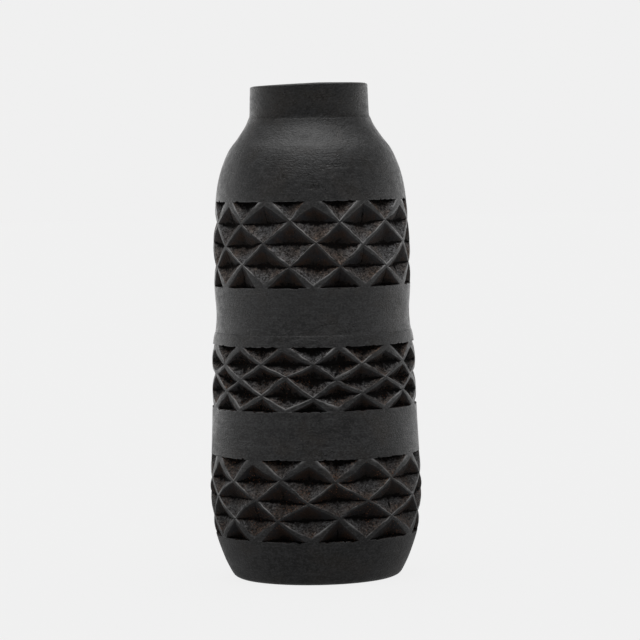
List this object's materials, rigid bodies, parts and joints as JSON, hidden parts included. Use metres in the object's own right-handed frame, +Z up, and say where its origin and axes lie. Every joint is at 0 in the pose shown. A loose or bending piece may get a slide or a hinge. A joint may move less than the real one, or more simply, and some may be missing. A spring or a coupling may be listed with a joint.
{
  "type": "carved black clay vase",
  "caption": "Tall bottle-shaped black clay vase with a short upright neck, plain burnished bands and bands of chip-carved diamonds.",
  "frame": {"origin": "centre of the foot, on the surface the vase stands on", "axes": "+Z up along the axis it was turned on, -Y towards the front"},
  "size_m": [0.1506, 0.1505, 0.35],
  "materials": {
    "burnished_clay": "reduction-fired black clay, burnished to a soft satin on the plain bands and left matt in the cut facets",
    "raw_clay": "reduction-fired black clay, unburnished and matt"
  },
  "bodies": {
    "root": {"floor_disc": "raw_clay", "lower_wall": "burnished_clay", "upper_wall": "burnished_clay", "neck_collar": "burnished_clay"}
  },
  "joints": []
}
